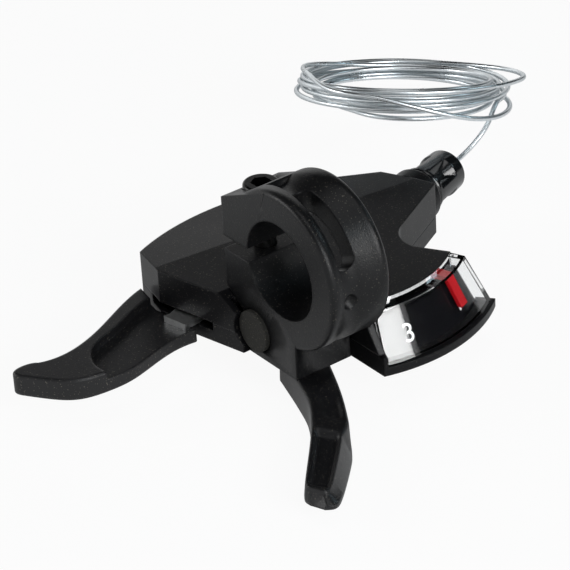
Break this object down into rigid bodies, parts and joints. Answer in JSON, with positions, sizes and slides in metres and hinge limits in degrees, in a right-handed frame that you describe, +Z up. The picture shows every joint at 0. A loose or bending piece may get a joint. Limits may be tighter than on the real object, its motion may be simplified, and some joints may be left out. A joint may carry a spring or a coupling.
{
  "type": "trigger shifter",
  "caption": "Left-hand bicycle trigger shifter with handlebar clamp, thumb and release levers, gear window, barrel adjuster and coiled inner cable.",
  "frame": {"origin": "centre of the handlebar clamp's bore at half its width", "axes": "+Y along the handlebar towards the stem, +X towards the rider, +Z up along the clamp bolt and the main axle"},
  "size_m": [0.1315, 0.1591, 0.0512],
  "materials": {
    "clamp_plastic": "moulded black with a fine grain",
    "housing_plastic": "moulded black with a fine grain",
    "lever_plastic": "moulded black, a little smoother",
    "plug_plastic": "coarse grain",
    "knob_plastic": "polished black",
    "spool_plastic": "moulded grey",
    "dial_plastic": "black with white numerals",
    "red_plastic": "bright red",
    "clear_lens": "clear moulded",
    "steel": "zinc plated",
    "black_steel": "black oxide",
    "spring_steel": "drawn wire",
    "rubber": "soft black rubber",
    "cable_steel": "stranded galvanised wire"
  },
  "bodies": {
    "housing": {"clamp_bracket": "clamp_plastic", "clamp_bolt": "black_steel", "clamp_nut": "steel", "port_plug": "plug_plastic", "foot_screws": "steel", "upper_cover": "housing_plastic", "lower_cover": "housing_plastic", "cover_screws": "steel", "base_plate": "steel", "main_axle": "steel", "axle_clip": "spring_steel", "axle_spacer": "steel", "hub_washer": "steel", "holding_post": "steel", "release_post": "steel", "lens": "clear_lens", "dial_plate": "dial_plastic", "pointer_pin": "steel", "spool_spring": "spring_steel", "holding_spring": "spring_steel", "thumb_spring": "spring_steel", "release_spring": "spring_steel", "friction_ring": "rubber", "cable_run": "cable_steel", "cable_lead": "cable_steel", "cable_coil": "cable_steel"},
    "thumb": {"thumb_lever": "lever_plastic", "thumb_plate": "steel", "winding_post": "steel", "winding_spring": "spring_steel"},
    "release": {"release_lever": "lever_plastic", "release_plate": "steel"},
    "spool": {"cable_spool": "spool_plastic", "ratchet_plate": "steel", "cable_head": "cable_steel"},
    "pointer_arm": {"pointer": "red_plastic"},
    "hold": {"holding_pawl": "steel"},
    "wind": {"winding_pawl": "steel"},
    "adjuster": {"adjuster_knob": "knob_plastic", "adjuster_barrel": "steel"}
  },
  "joints": [
    {"name": "thumb_push", "type": "hinge", "parent": "housing", "child": "thumb", "pos_m": [-0.0276, 0.014, -0.0282], "axis": [0, 0, 1], "range_deg": [-29, 0], "stiffness_Nm_per_rad": 0.4, "springref_deg": 22.92, "deforming": ["thumb_spring"]},
    {"name": "release_pull", "type": "hinge", "parent": "housing", "child": "release", "pos_m": [-0.03, -0.003, -0.0213], "axis": [0, 0, 1], "range_deg": [0, 12], "stiffness_Nm_per_rad": 0.4, "springref_deg": -22.92, "deforming": ["release_spring"]},
    {"name": "spool_turn", "type": "hinge", "parent": "housing", "child": "spool", "pos_m": [-0.0276, 0.014, -0.0188], "axis": [0, 0, 1], "range_deg": [-57, 0], "stiffness_Nm_per_rad": 0.05, "springref_deg": 28.65, "deforming": ["spool_spring", "cable_run"]},
    {"name": "pointer_swing", "type": "hinge", "parent": "housing", "child": "pointer_arm", "pos_m": [-0.022, 0.0195, -0.0145], "axis": [0, 0, 1], "range_deg": [-28.5, 0]},
    {"name": "holding_pawl_swing", "type": "hinge", "parent": "housing", "child": "hold", "pos_m": [-0.04301, 0.00682, -0.016], "axis": [0, 0, 1], "range_deg": [0, 12.8], "stiffness_Nm_per_rad": 0.01, "deforming": ["holding_spring"]},
    {"name": "winding_pawl_swing", "type": "hinge", "parent": "thumb", "child": "wind", "pos_m": [-0.0142, 0.02447, -0.016], "axis": [0, 0, 1], "range_deg": [0, 6], "stiffness_Nm_per_rad": 0.01, "deforming": ["winding_spring"]},
    {"name": "adjuster_turn", "type": "hinge", "parent": "housing", "child": "adjuster", "pos_m": [-0.035, 0.06336, -0.0188], "axis": [-0.3338, 0.9426, 0], "range_deg": [-720, 720]}
  ],
  "couplings": [
    {"joint": "pointer_swing", "follows": "spool_turn", "ratio": 0.5}
  ]
}
